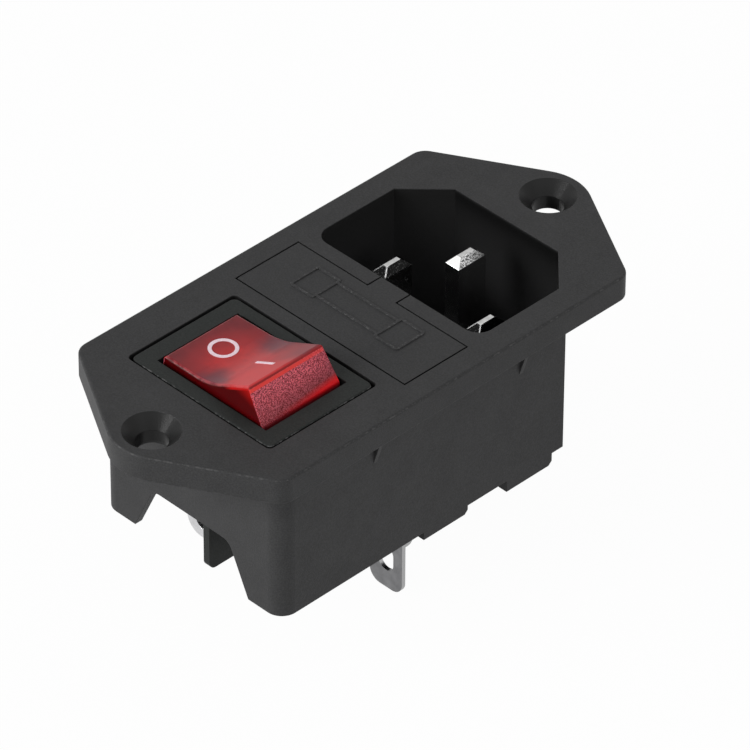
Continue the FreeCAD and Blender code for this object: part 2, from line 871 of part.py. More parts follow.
def make_outlet_clip():
    """Clip with the solder tab of the fused line, and a locking tail through the shaft's floor."""
    body = new_body("fuse_outlet_clip")
    add_clip_leaves(body, 1)
    base_top = shaft_base + size.clip_thick
    tab_foot = foot - size.outlet_drop
    fill(body, "XZ", clip_outer, clip_inner, rectangle(clip_start, clip_end, tab_foot, base_top))
    dress(body, "Fillet", size.tab_round,
          lines_along("Y", (clip_start, tab_foot), (clip_end, tab_foot)))
    cut_eye(body, "XZ", (clip_start + clip_end) / 2, tab_foot + size.eye_margin, clip_outer, clip_inner)
    tail_low, tail_high, tail_start, tail_end = tail_box()
    tail_foot = foot - size.tail_drop
    fill(body, "YZ", tail_start, tail_end, rectangle(tail_low, tail_high, tail_foot, shaft_base))
    dress(body, "Fillet", size.tail_round,
          lines_along("X", (tail_low, tail_foot), (tail_high, tail_foot)))


def make_inlet_clip():
    """Clip whose plate turns under the floor into the link strip to the line pin's tab."""
    body = new_body("fuse_inlet_clip")
    add_clip_leaves(body, -1)
    base_top = shaft_base + size.clip_thick
    strip_top = foot - size.link_gap
    strip_foot = strip_top - size.clip_thick
    fill(body, "XZ", clip_outer, clip_inner, rectangle(-clip_end, -clip_start, strip_foot, base_top))
    strip_end = -(size.pin_spread + size.tab_thick) / 2
    fill(body, "XY", strip_foot, strip_top,
         rectangle(strip_end - size.leaf_width, strip_end, clip_outer, pin_line + size.pin_width / 2))


# Switch case

def make_switch_case():
    """Bezel, case, floor and rear barrier of the rocker switch, one moulding."""
    body = new_body("switch_case")
    middle = switch_place
    half_wide = bezel_half_width
    fill(body, "XY", bezel_back, bezel_top,
         rectangle(-half_bezel, half_bezel, middle - half_wide, middle + half_wide))
    corners = [(side * half_bezel, middle + end * half_wide) for side in (1, -1) for end in (1, -1)]
    dress(body, "Fillet", size.bezel_round, lines_along("Z", *corners))
    dress(body, "Fillet", size.bezel_edge, edges_at_height(bezel_top))
    fill(body, "XY", case_back, bezel_back, rectangle(-half_case, half_case, case_low, case_high))
    open_low = middle - open_half_width
    open_high = middle + open_half_width
    empty(body, "XY", case_inside, bezel_top, rectangle(-half_opening, half_opening, open_low, open_high))
    half_divider = size.divider_thick / 2
    fill(body, "XY", case_inside, case_inside + size.divider_rise,
         rectangle(-half_opening, half_opening, middle - half_divider, middle + half_divider))
    socket = Circle(0, pivot_level, size.pivot_radius + size.pivot_play)
    empty(body, "XZ", case_low, open_low, socket)
    empty(body, "XZ", open_high, case_high, socket)

    latch_head = panel_back - size.latch_gap
    latches = [
        [(side * half_case, latch_head), (side * (half_case + size.latch_reach), latch_head),
         (side * half_case, latch_head - size.latch_rise)]
        for side in (1, -1)
    ]
    fill(body, "XZ", middle - size.latch_width / 2, middle + size.latch_width / 2, *latches)
    half_barrier = size.barrier_thick / 2
    front = case_low - size.barrier_reach
    barrier_foot = case_back - size.barrier_drop
    fill(body, "YZ", -half_barrier, half_barrier, rectangle(front, case_high, barrier_foot, case_back))
    dress(body, "Fillet", size.barrier_round, lines_along("X", (front, barrier_foot)))
    slots = []
    half_thick = size.tab_thick / 2
    for place in poles.values():
        line = middle + place
        for low, high in switch_tab_spans():
            slots.append(rectangle(low, high, line - half_thick, line + half_thick))
    empty(body, "XY", case_back, case_inside, *slots)
    return body


def switch_tab_spans():
    """Where the switch's tabs lie across the module: the fixed one, then the common one."""
    return (-switch_tab_end, -switch_tab_start), (switch_tab_start, switch_tab_end)


# Rocker and what it holds

def rocker_profile(inset):
    """Side view about the pivot; inset is the wall left outside it, nothing for the outer form."""
    half = crown_half - inset
    rise = size.rocker_rise - inset
    dip = rise - crown_half * tangent(size.rocker_slope)
    skirt = skirt_half - inset
    return half, rise, dip, skirt


def make_rocker():
    """Hollow cap with a dished top, pivot stubs and a stem for each plunger."""
    body = new_body("rocker")
    half, rise, dip, skirt = rocker_profile(as_size(0))
    right = [(size.cheek_half, -size.cheek_drop), (skirt, size.skirt_foot)]
    right += [(skirt, size.skirt_rise), (half, rise)]
    left = [(-across, level) for across, level in reversed(right)]
    fill(body, "XZ", -half_rocker, half_rocker, right + [(0, dip)] + left)
    dress(body, "Fillet", size.rocker_blend, lines_along("Y", (0, dip)))
    half_crown = half_rocker - size.crown_lean
    slivers = [
        [(side * half_rocker, size.skirt_foot), (side * half_rocker, rise), (side * half_crown, rise)]
        for side in (1, -1)
    ]
    empty(body, "YZ", -skirt, skirt, *slivers)
    dress(body, "Fillet", size.rocker_edge, rocker_crown_edges(half, rise))

    half, rise, dip, skirt = rocker_profile(size.rocker_wall)
    right = [(skirt, -size.cheek_drop), (skirt, size.skirt_rise), (half, rise)]
    left = [(-across, level) for across, level in reversed(right)]
    empty(body, "XZ", -half_cavity, half_cavity, right + [(0, dip)] + left)

    half_stem = size.stem_width / 2
    stem_inner = size.stem_gap / 2
    for end in (1, -1):
        low, high = sorted((end * stem_inner, end * half_cavity), key=lambda item: item.value)
        fill(body, "XY", -size.stem_drop, dip + size.rocker_wall / 2,
             rectangle(-half_stem, half_stem, low, high))
        reach = case_half_width - size.pivot_end_gap
        low, high = sorted((end * half_rocker, end * reach), key=lambda item: item.value)
        fill(body, "XZ", low, high, Circle(0, 0, size.pivot_radius))
    bore = size.plunger_radius + size.plunger_slack
    empty(body, "XY", -size.stem_drop, size.bore_top, *[Circle(0, place, bore) for place in poles.values()])
    half_slot = size.lead_radius + size.plunger_slack
    slots = [
        rectangle(place - half_slot, place + half_slot,
                  size.lamp_height - half_slot, size.lamp_height + half_slot)
        for place in poles.values()
    ]
    empty(body, "YZ", 0, half_stem, *slots)
    place_in_rocker(body)
    return body


def rocker_crown_edges(half, rise):
    """Picks the rim of the rocker's dished top."""
    rim = half.value
    level = rise.value

    def choose(edge):
        middle = edge.CenterOfMass
        box = edge.BoundBox
        across_rim = abs(abs(middle.x) - rim) < EDGE_REACH and abs(middle.z - level) < EDGE_REACH
        along_side = abs(middle.y) > half_cavity.value and box.XLength > box.ZLength * 2
        return across_rim or (along_side and box.ZMin > size.skirt_rise.value)

    return choose


def place_in_rocker(item):
    """Turn an item made about the pivot to the resting tilt, with the O end down."""
    set_place(item, pivot_place, size.rocker_tilt, axis=(0, -1, 0))


def make_plungers():
    """Round-nosed plungers in the rocker's stems, each under its spring."""
    tip = -(size.plunger_reach + size.plunger_radius)
    for name, place in poles.items():
        plunger = new_body(f"plunger_{name}")
        fill(plunger, "XY", tip, -size.plunger_top, Circle(0, place, size.plunger_radius))
        dress(plunger, "Fillet", size.plunger_radius - size.plunger_slack, edges_at_height(tip))
        place_in_rocker(plunger)
        make_spring(f"plunger_spring_{name}", place)


def make_spring(label, place):
    """A coil from the plunger's top to the lamp lead."""
    low = size.spring_wire + size.spring_gap - size.plunger_top
    high = size.lamp_height - size.lead_radius - size.spring_wire - size.spring_gap
    body = new_body(label)
    sketch = new_sketch(body, "XZ", -place, [Circle(size.spring_radius, low, size.spring_wire)])
    coil = body.newObject("PartDesign::AdditiveHelix", "Coil")
    coil.Profile = sketch
    coil.ReferenceAxis = (sketch, ["V_Axis"])
    coil.Mode = "height-turns-angle"
    coil.setExpression("Height", (high - low).text)
    coil.setExpression("Turns", size.spring_turns.text)
    doc.recompute()
    place_in_rocker(body)


def make_lamp():
    """Neon lamp in series with its resistor, wired to the tops of the two plunger springs."""
    lamp_end = size.lamp_start + size.lamp_length
    lamp = new_body("neon_lamp")
    fill(lamp, "XZ", size.lamp_start, lamp_end,
         Circle(lamp_place, size.lamp_height, size.lamp_radius))
    dress(lamp, "Fillet", size.lamp_tip, round_end_at(lamp_end))
    place_in_rocker(lamp)

    resistor_end = lamp_place - size.resistor_gap
    resistor = new_body("lamp_resistor")
    fill(resistor, "YZ", size.resistor_start, resistor_end,
         Circle(poles["far"], size.lamp_height, size.resistor_radius))
    place_in_rocker(resistor)

    level = size.lamp_height
    radius = size.lead_radius
    corner = (lamp_place, poles["near"], level)
    near = join(
        "lamp_lead_near",
        rod("Y", corner, size.lamp_start - poles["near"], radius),
        ball(corner, radius),
        rod("X", (-size.lead_overrun, poles["near"], level), lamp_place + size.lead_overrun, radius),
    )
    corner = (lamp_place, poles["far"], level)
    link = join(
        "lamp_lead_link",
        rod("Y", (lamp_place, lamp_end, level), poles["far"] - lamp_end, radius),
        ball(corner, radius),
        rod("X", (resistor_end, poles["far"], level), lamp_place - resistor_end, radius),
    )
    far = new_body("lamp_lead_far")
    fill(far, "YZ", -size.lead_overrun, size.resistor_start, Circle(poles["far"], level, radius))
    for lead in (near, link, far):
        place_in_rocker(lead)


def round_end_at(place):
    """Picks the round edge of a bar that ends at one place along Y."""
    spot = place.value

    def choose(edge):
        box = edge.BoundBox
        return abs(box.YMin - spot) < EDGE_REACH and abs(box.YMax - spot) < EDGE_REACH

    return choose


# Contact levers and switch terminals

def make_levers():
    """Rocking contact strips on their fulcrums, each with a contact under the O end."""
    half = size.contact_reach + size.lever_end
    thick = size.lever_thick
    half_width = size.lever_width / 2
    right = [(half, thick), (half, 0), (size.lug_outer, 0), (size.lug_outer, -size.lug_drop)]
    right += [(size.lug_inner, -size.lug_drop), (size.lug_inner, 0)]
    left = [(-across, level) for across, level in reversed(right)]
    for name, line in poles.items():
        place = (0, switch_place + line, lever_level)
        lever = new_body(f"contact_lever_{name}")
        fill(lever, "XZ", -half_width, half_width, right + left)
        set_place(lever, place, size.lever_tilt)
        contact = new_body(f"lever_contact_{name}")
        fill(contact, "XY", -size.contact_head, 0, Circle(-size.contact_reach, 0, size.contact_radius))
        set_place(contact, place, size.lever_tilt)


def make_terminals():
    """For each pole, a common terminal with the fulcrum and a fixed terminal with its contact."""
    half_thick = size.tab_thick / 2
    tab_foot = switch_tab_foot
    sweep = (size.contact_reach + size.contact_radius) * sine(size.lever_tilt)
    contact_top = (
        lever_level - sweep - size.contact_head * cosine(size.lever_tilt) - size.contact_play
    )
    seat_top = contact_top - size.fixed_head
    seat_foot = seat_top - size.tab_thick
    common = [
        (switch_tab_start, tab_foot), (switch_tab_end, tab_foot), (switch_tab_end, case_inside),
        (seat_reach, case_inside), (seat_reach, case_inside + size.arm_height),
        (size.fulcrum_foot, case_inside + size.arm_height),
        (size.fulcrum_half, lever_level - size.fulcrum_play),
        (-size.fulcrum_half, lever_level - size.fulcrum_play),
        (-size.fulcrum_foot, case_inside + size.arm_height), (-size.fulcrum_foot, case_inside),
        (switch_tab_start, case_inside),
    ]
    fixed = [
        (-switch_tab_end, tab_foot), (-switch_tab_start, tab_foot), (-switch_tab_start, seat_foot),
        (-seat_reach, seat_foot), (-seat_reach, case_inside), (-switch_tab_end, case_inside),
    ]
    half_seat = size.contact_radius + size.seat_margin
    for name, place in poles.items():
        line = switch_place + place
        low, high = line - half_thick, line + half_thick
        body = new_body(f"common_terminal_{name}")
        fill(body, "XZ", low, high, common)
        round_tab(body, switch_tab_start, switch_tab_end, tab_foot, low, high)

        body = new_body(f"fixed_terminal_{name}")
        fill(body, "XZ", low, high, fixed)
        round_tab(body, -switch_tab_end, -switch_tab_start, tab_foot, low, high)
        fill(body, "XY", seat_foot, seat_top,
             rectangle(-seat_reach, half_seat - size.contact_reach, line - half_seat, line + half_seat))
        contact = new_body(f"fixed_contact_{name}")
        fill(contact, "XY", seat_top, contact_top,
             Circle(-size.contact_reach, line, size.contact_radius))


def round_tab(body, start, end, tab_foot, low, high):
    """Round a switch tab's foot and cut its eye."""
    bend = size.tab_width / 2 - size.switch_tab_flat
    dress(body, "Fillet", bend, lines_along("Y", (start, tab_foot), (end, tab_foot)))
    cut_eye(body, "XZ", (start + end) / 2, tab_foot + size.switch_eye_margin, low, high)


make_housing()
make_pins()
make_fuse_drawer()
make_fuse("fuse", fuse_level)
make_fuse("spare", spare_level)
make_outlet_clip()
make_inlet_clip()
make_switch_case()
make_rocker()
make_plungers()
make_lamp()
make_levers()
make_terminals()


# Checks and export

doc.recompute()
for item in doc.Objects:
    if "Invalid" in item.State or "Error" in item.State:
        raise ValueError(f"{item.Label} is in state {item.State}")
for item in parts:
    if item.Shape.isNull() or not item.Shape.isValid() or item.Shape.Volume <= 0:
        raise ValueError(f"{item.Label} has no valid shape")

os.makedirs("parts", exist_ok=True)
for item in parts:
    item.Shape.exportStep(f"parts/{item.Label}.step")
    box = item.Shape.BoundBox
    print(f"{item.Label}: {len(item.Shape.Solids)} solid, {item.Shape.Volume:.2f} mm3, "
          f"x {box.XMin:.2f} {box.XMax:.2f}, y {box.YMin:.2f} {box.YMax:.2f}, "
          f"z {box.ZMin:.2f} {box.ZMax:.2f}")
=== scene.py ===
import json
import math

import bmesh
import bpy
from mathutils import Matrix, Vector
from mathutils.bvhtree import BVHTree


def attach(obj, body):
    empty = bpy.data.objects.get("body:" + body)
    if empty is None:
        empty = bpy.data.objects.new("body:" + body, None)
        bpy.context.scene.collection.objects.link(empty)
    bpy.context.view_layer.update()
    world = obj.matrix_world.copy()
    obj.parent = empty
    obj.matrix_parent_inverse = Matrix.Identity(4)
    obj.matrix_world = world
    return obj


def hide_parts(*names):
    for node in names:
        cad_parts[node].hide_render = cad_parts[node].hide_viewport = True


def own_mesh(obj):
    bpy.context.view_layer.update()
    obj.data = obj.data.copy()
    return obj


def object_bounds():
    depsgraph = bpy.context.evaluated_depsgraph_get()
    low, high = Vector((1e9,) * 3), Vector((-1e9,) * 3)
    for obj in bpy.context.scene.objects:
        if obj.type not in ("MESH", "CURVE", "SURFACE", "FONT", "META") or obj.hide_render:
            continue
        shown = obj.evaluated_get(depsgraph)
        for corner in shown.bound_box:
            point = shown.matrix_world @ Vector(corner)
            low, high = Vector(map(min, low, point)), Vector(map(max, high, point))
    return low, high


# Looks of the power entry module. Metres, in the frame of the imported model:
# X across the module, +Y from the switch to the inlet, +Z out of the panel.

MM = 0.001

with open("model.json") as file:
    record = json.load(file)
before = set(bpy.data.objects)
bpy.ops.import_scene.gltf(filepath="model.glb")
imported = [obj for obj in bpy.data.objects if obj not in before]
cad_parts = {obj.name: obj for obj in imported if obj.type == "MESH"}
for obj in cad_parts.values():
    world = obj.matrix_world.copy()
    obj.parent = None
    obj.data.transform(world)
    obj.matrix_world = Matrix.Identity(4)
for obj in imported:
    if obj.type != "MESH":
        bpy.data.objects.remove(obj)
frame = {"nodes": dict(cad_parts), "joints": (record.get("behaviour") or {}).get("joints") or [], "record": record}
cad_box = [list(corner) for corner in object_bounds()]

# Camera, from the photograph's fitted view

CAMERA_PLACE = Vector((0.41184, -0.40369, 0.44539))
CAMERA_RIGHT = Vector((0.70036, 0.71378, 0.00421))
CAMERA_UP = Vector((-0.44200, 0.42904, 0.78775))
CAMERA_LENS = 335.45
CAMERA_NEAR = 0.01
CAMERA_FAR = 10.0
SENSOR_WIDTH = 36.0

# The flange's top and the bezel's top

FLANGE_TOP = 3.0 * MM
BEZEL_TOP = 2.95 * MM

# The inlet's opening, whose +Y corners are cut off along a line of across plus along

INLET_HALF = 12.3 * MM
INLET_START = 5.9 * MM
INLET_END = 22.6 * MM
INLET_CORNER = 30.5 * MM

# The housing's wells lie within these distances of its middle, and the flange's outer faces beyond

WELL_HALF = 13.6 * MM
WELL_END = 23.6 * MM
BODY_HALF = 14.1 * MM
BODY_END = 24.1 * MM

# The countersinks, at both ends

SCREW_PLACE = 29.07 * MM
SCREW_CLEAR = 3.3 * MM

# The rocker's own frame: its pivot, and its tilt with the O end down

rocker_joint = next(joint for joint in frame["joints"] if joint["name"] == "rocker_hinge")
ROCKER_PIVOT = Vector(rocker_joint["pos_m"])
ROCKER_TILT = math.radians(rocker_joint["range_deg"][1] / 2)
ROCKER_TURN = Matrix.Rotation(-ROCKER_TILT, 4, "Y")
ROCKER_TOP = 8 * MM

# The rocker's end and side faces, each a line of height against distance out from the pivot

ROCKER_END_LEAN = 1.39 / 4.2
ROCKER_END = 8.41 * MM
ROCKER_SIDE_LEAN = 0.08
ROCKER_SIDE = 5.62 * MM
ROCKER_BRIM = 5.60 * MM

# The dished top's two slopes, and the height at which they would meet

ROCKER_SLOPE = math.tan(math.radians(12.5))
ROCKER_DIP = 4.47 * MM

# Marks on the rocker, in its own frame

RING_CENTRE = (-3.17 * MM, 0.04 * MM)
RING_MIDDLE = 1.41 * MM
RING_WIDTH = 0.42 * MM
RING_STEPS = 96
DASH_CENTRE = (3.16 * MM, 0.12 * MM)
DASH_LENGTH = 2.88 * MM
DASH_WIDTH = 0.4 * MM
DASH_STEPS = 16
MARK_RISE = 0.03 * MM
MARK_SINK = 0.05 * MM

# Stage

FLOOR_SIZE = 4.0
FLOOR_COLOUR = (0.86, 0.86, 0.86, 1)
FLOOR_ROUGHNESS = 0.9
FLOOR_SHADOW_SHARE = 0.03
FLOOR_GAP = 0.02 * MM
WORLD_STRENGTH = 0.28


# Materials

class Look:
    """A procedural material: its Principled shader, and short calls for the nodes that feed it."""

    def __init__(self, name, **sockets):
        self.material = bpy.data.materials.new(name)
        self.material.use_nodes = True
        self.tree = self.material.node_tree
        self.shader = self.tree.nodes["Principled BSDF"]
        coordinates = self.node("ShaderNodeTexCoord")
        self.place = coordinates.outputs["Object"]
        self.facing = coordinates.outputs["Normal"]
        for socket, value in sockets.items():
            self.shader.inputs[socket.replace("_", " ")].default_value = value

    def node(self, kind, **settings):
        node = self.tree.nodes.new(kind)
        for name, value in settings.items():
            setattr(node, name, value)
        return node

    def link(self, source, target):
        self.tree.links.new(source, target)

    def feed(self, socket, value):
        """Give a socket a number, a colour or another node's output."""
        if isinstance(value, bpy.types.NodeSocket):
            self.link(value, socket)
        else:
            socket.default_value = value

    def noise(self, size, detail=2.0, roughness=0.5, place=None, stretch=None):
        """Noise with features of about one size in metres; stretch scales its three directions."""
        texture = self.node("ShaderNodeTexNoise")
        texture.inputs["Scale"].default_value = 1 / size
        texture.inputs["Detail"].default_value = detail
        texture.inputs["Roughness"].default_value = roughness
        place = place or self.place
        if stretch:
            mapping = self.node("ShaderNodeMapping")
            mapping.inputs["Scale"].default_value = stretch
            self.link(place, mapping.inputs["Vector"])
            place = mapping.outputs["Vector"]
        self.link(place, texture.inputs["Vector"])
        return texture.outputs["Fac"]

    def wander(self, place, size, reach):
        """A place moved about by noise, so that a mask made from it has an uneven outline."""
        noise = self.node("ShaderNodeTexNoise")
        noise.inputs["Scale"].default_value = 1 / size
        self.link(place, noise.inputs["Vector"])
        moved = self.node("ShaderNodeVectorMath", operation="MULTIPLY_ADD")
        self.link(noise.outputs["Color"], moved.inputs[0])
        moved.inputs[1].default_value = reach
        self.link(place, moved.inputs[2])
        return moved.outputs["Vector"]

    def axes(self, vector):
        """A vector's three parts."""
        split = self.node("ShaderNodeSeparateXYZ")
        self.link(vector, split.inputs[0])
        return split.outputs

    def calculate(self, operation, one, other=0.0):
        node = self.node("ShaderNodeMath", operation=operation)
        self.feed(node.inputs[0], one)
        self.feed(node.inputs[1], other)
        return node.outputs[0]

    def absolute(self, value):
        return self.calculate("ABSOLUTE", value)

    def total(self, one, other):
        return self.calculate("ADD", one, other)

    def largest(self, one, other):
        return self.calculate("MAXIMUM", one, other)

    def product(self, *factors):
        total = factors[0]
        for factor in factors[1:]:
            total = self.calculate("MULTIPLY", total, factor)
        return total

    def span(self, value, low, high, to_low=0.0, to_high=1.0, smooth=False):
        """Carry a value's range over to another range, and stop at its ends."""
        node = self.node("ShaderNodeMapRange")
        node.interpolation_type = "SMOOTHSTEP" if smooth else "LINEAR"
        self.link(value, node.inputs["Value"])
        for name, number in zip(("From Min", "From Max", "To Min", "To Max"), (low, high, to_low, to_high)):
            node.inputs[name].default_value = number
        return node.outputs["Result"]

    def above(self, value, level, soft):
        """0 up to a level, and 1 from a soft width above it."""
        return self.span(value, level, level + soft)

    def below(self, value, level, soft):
        """1 up to a level, and 0 from a soft width above it."""
        return self.span(value, level, level + soft, 1.0, 0.0)

    def within(self, value, low, high, soft):
        """1 between low and high, and 0 outside them, over a soft width."""
        return self.product(self.above(value, low - soft, soft), self.below(value, high, soft))

    def opposite(self, share):
        """1 where a share is 0, and 0 where it is 1."""
        return self.span(share, 0, 1, 1.0, 0.0)

    def spot(self, place, centre, inner, outer):
        """1 within inner of a point, and 0 beyond outer."""
        apart = self.node("ShaderNodeVectorMath", operation="DISTANCE")
        self.link(place, apart.inputs[0])
        apart.inputs[1].default_value = centre
        return self.span(apart.outputs["Value"], inner, outer, 1.0, 0.0, smooth=True)

    def edge_mask(self, reach):
        """1 along the part's edges, within reach of them, and 0 on its open faces."""
        bevel = self.node("ShaderNodeBevel", samples=6)
        bevel.inputs["Radius"].default_value = reach
        geometry = self.node("ShaderNodeNewGeometry")
        match = self.node("ShaderNodeVectorMath", operation="DOT_PRODUCT")
        self.link(bevel.outputs["Normal"], match.inputs[0])
        self.link(geometry.outputs["Normal"], match.inputs[1])
        return self.span(match.outputs["Value"], 0.95, 0.995, 1.0, 0.0)

    def blend(self, share, first, second):
        """Mix two colours."""
        node = self.node("ShaderNodeMix", data_type="RGBA")
        self.feed(node.inputs[0], share)
        self.feed(node.inputs[6], first)
        self.feed(node.inputs[7], second)
        return node.outputs[2]

    def colour(self, source):
        self.link(source, self.shader.inputs["Base Color"])

    def roughness(self, source):
        self.link(source, self.shader.inputs["Roughness"])

    def relief(self, height, depth, edge=0.0):
        """Bump from a height of 0 to 1, depth metres deep, over edges rounded by edge metres."""
        bump = self.node("ShaderNodeBump")
        bump.inputs["Strength"].default_value = 1.0
        bump.inputs["Distance"].default_value = depth
        self.link(height, bump.inputs["Height"])
        if edge:
            bevel = self.node("ShaderNodeBevel", samples=6)
            bevel.inputs["Radius"].default_value = edge
            self.link(bevel.outputs["Normal"], bump.inputs["Normal"])
        self.link(bump.outputs["Normal"], self.shader.inputs["Normal"])


def grey(level):
    """A neutral colour."""
    return (level, level, level, 1)


# Black mouldings

HOUSING_DARK = (0.028, 0.028, 0.0285, 1)
HOUSING_LIGHT = (0.048, 0.048, 0.049, 1)
HOUSING_GLOSS = 0.15
HOUSING_GRAIN = 0.17 * MM
HOUSING_RELIEF = 0.022 * MM
# Painted highlight along the flange's rim and foot.
RIM_PAINTED_HIGHLIGHT = grey(0.072)
# Painted shade on the well walls and in the countersinks.
WELL_PAINTED_SHADE = grey(0.012)
SINK_PAINTED_SHADE = grey(0.016)
# Painted shade in the inlet, nearly black at the mouth and paler in the depth.
MOUTH_PAINTED_SHADE_DARK = grey(0.006)
MOUTH_PAINTED_SHADE_PALE = grey(0.019)
INLET_DEPTH_SHADE = (0.045, 0.045, 0.046, 1)

BEZEL_DARK = (0.016, 0.0178, 0.017, 1)
BEZEL_LIGHT = (0.029, 0.0315, 0.030, 1)
BEZEL_GLOSS = 0.12
BEZEL_GRAIN = 0.2 * MM
BEZEL_RELIEF = 0.014 * MM
# Painted highlight along the bezel's rim.
BEZEL_RIM_PAINTED_HIGHLIGHT = grey(0.13)

SYMBOL_SHADE = grey(0.10)
# Painted shade on the walls of the gaps round the bezel and the drawer.
GAP_PAINTED_SHADE = grey(0.005)


def moulded_plastic(name, dark, light, gloss, grain):
    """Black moulded plastic: soft mottling under fine specks."""
    look = Look(name, Specular_IOR_Level=gloss)
    cloud = look.span(look.noise(3 * MM, detail=3), 0.3, 0.7)
    speck = look.span(look.noise(grain, detail=2), 0.35, 0.75)
    share = look.total(look.product(speck, 0.7), look.product(cloud, 0.3))
    look.roughness(look.span(cloud, 0, 1, 0.50, 0.60))
    return look, look.blend(share, dark, light)


def housing_black(name):
    """The plastic that the housing and the drawer share."""
    return moulded_plastic(name, HOUSING_DARK, HOUSING_LIGHT, HOUSING_GLOSS, HOUSING_GRAIN)


def grained(look, grain, depth, edge):
    """The fine relief of a moulding's surface."""
    look.relief(look.noise(grain, detail=3, roughness=0.6), depth, edge)


def upright(look, rise=0.1):
    """1 on faces that stand upright, or lean up by rise at most."""
    return look.within(look.axes(look.facing)["Z"], -0.1, rise, 0.05)


def gap_wall(look, low, high, rise=0.1):
    """1 on the upright faces that line a narrow gap between two heights."""
    return look.product(look.within(look.axes(look.place)["Z"], low, high, 0.05 * MM), upright(look, rise))


def rim_highlight(look, low, high):
    """Painted highlight: a broken light line along the rounded edges that lie between two heights."""
    height = look.axes(look.place)["Z"]
    rounded = look.within(look.axes(look.facing)["Z"], 0.45, 0.75, 0.1)
    broken = look.span(look.noise(0.45 * MM, detail=3), 0.50, 0.66)
    return look.product(look.within(height, low, high, 0.02 * MM), rounded, broken)


def foot_highlight(look):
    """Painted highlight: a broken light line along the foot of the flange's outer faces."""
    across, along, height = look.axes(look.place)
    outer = look.largest(look.above(look.absolute(across), BODY_HALF, 0.2 * MM),
                         look.above(look.absolute(along), BODY_END, 0.2 * MM))
    broken = look.span(look.noise(0.6 * MM, detail=3), 0.50, 0.66, 0.0, 0.6)
    return look.product(outer, upright(look), look.below(height, 0.05 * MM, 0.07 * MM), broken)


def well_mask(look):
    """1 on the upright walls round the switch, the drawer and the inlet."""
    across, along, height = look.axes(look.place)
    return look.product(
        look.below(look.absolute(across), WELL_HALF, 0.3 * MM),
        look.below(look.absolute(along), WELL_END, 0.3 * MM),
        look.within(height, 0.0, FLANGE_TOP - 0.12 * MM, 0.05 * MM),
        upright(look),
    )


def sink_mask(look):
    """1 in the two countersinks."""
    spots = [look.spot(look.place, (0, end * SCREW_PLACE, FLANGE_TOP), SCREW_CLEAR, SCREW_CLEAR + 0.1 * MM)
             for end in (1, -1)]
    leaning = look.within(look.axes(look.facing)["Z"], -0.1, 0.9, 0.05)
    return look.product(look.total(*spots), leaning)


def inlet_mask(look):
    """1 in the inlet, below its rim."""
    across, along, height = look.axes(look.place)
    side = look.absolute(across)
    return look.product(
        look.below(side, INLET_HALF, 0.1 * MM),
        look.within(along, INLET_START, INLET_END, 0.1 * MM),
        look.below(look.total(side, along), INLET_CORNER, 0.4 * MM),
        look.below(height, FLANGE_TOP - 0.4 * MM, 0.25 * MM),
    )


def inlet_painted_shade(look):
    """Painted shade: nearly black at the mouth, and a little paler on the wall that faces +X and in the depth."""
    mouth = look.blend(look.span(look.axes(look.facing)["X"], 0.2, 0.8), MOUTH_PAINTED_SHADE_DARK, MOUTH_PAINTED_SHADE_PALE)
    raised = look.span(look.axes(look.place)["Z"], -9 * MM, 2 * MM)
    return look.blend(raised, INLET_DEPTH_SHADE, mouth)


def housing_plastic():
    """Grained outside and smooth in the inlet and the countersinks, with painted shade in the inlet, in the
    countersinks and on the well walls, and a painted highlight along the edges.
    """
    look, shade = housing_black("housing_plastic")
    inlet, sink = inlet_mask(look), sink_mask(look)
    rim = look.product(look.opposite(sink), rim_highlight(look, FLANGE_TOP - 0.26 * MM, FLANGE_TOP))
    # A painted highlight along the rim and the foot.
    shade = look.blend(look.largest(foot_highlight(look), rim), shade, RIM_PAINTED_HIGHLIGHT)
    # Painted shade on the well walls and in the countersinks.
    shade = look.blend(well_mask(look), shade, WELL_PAINTED_SHADE)
    shade = look.blend(sink, shade, SINK_PAINTED_SHADE)
    # Painted shade in the inlet.
    look.colour(look.blend(inlet, shade, inlet_painted_shade(look)))
    look.roughness(look.span(look.largest(inlet, sink), 0, 1, 0.55, 0.30))
    grained(look, HOUSING_GRAIN, HOUSING_RELIEF, edge=0.10 * MM)
    return look.material


def bezel_plastic():
    """The switch's smoother, slightly green black, with painted shade on its gap walls and a painted highlight
    along its rim.
    """
    look, shade = moulded_plastic("bezel_plastic", BEZEL_DARK, BEZEL_LIGHT, BEZEL_GLOSS, BEZEL_GRAIN)
    # Painted shade on the bezel's gap walls.
    gap = gap_wall(look, BEZEL_TOP - 1.1 * MM, BEZEL_TOP - 0.13 * MM, rise=0.45)
    # A painted highlight along the bezel's rim.
    rim = rim_highlight(look, BEZEL_TOP - 0.34 * MM, BEZEL_TOP - 0.02 * MM)
    look.colour(look.blend(rim, look.blend(gap, shade, GAP_PAINTED_SHADE), BEZEL_RIM_PAINTED_HIGHLIGHT))
    grained(look, BEZEL_GRAIN, BEZEL_RELIEF, edge=0.10 * MM)
    return look.material


def drawer_plastic():
    """The housing's plastic, with painted shade on its gap walls and the raised symbol's lines lighter in broken
    patches.
    """
    look, shade = housing_black("drawer_plastic")
    # Painted shade on the drawer's gap walls.
    gap = gap_wall(look, FLANGE_TOP - 0.6 * MM, FLANGE_TOP - 0.08 * MM)
    raised = look.product(look.above(look.axes(look.place)["Z"], FLANGE_TOP + 0.03 * MM, 0.06 * MM),
                          look.span(look.noise(0.35 * MM, detail=3), 0.54, 0.70))
    look.colour(look.blend(raised, look.blend(gap, shade, GAP_PAINTED_SHADE), SYMBOL_SHADE))
    grained(look, HOUSING_GRAIN, HOUSING_RELIEF, edge=0.08 * MM)
    return look.material


# Red rocker

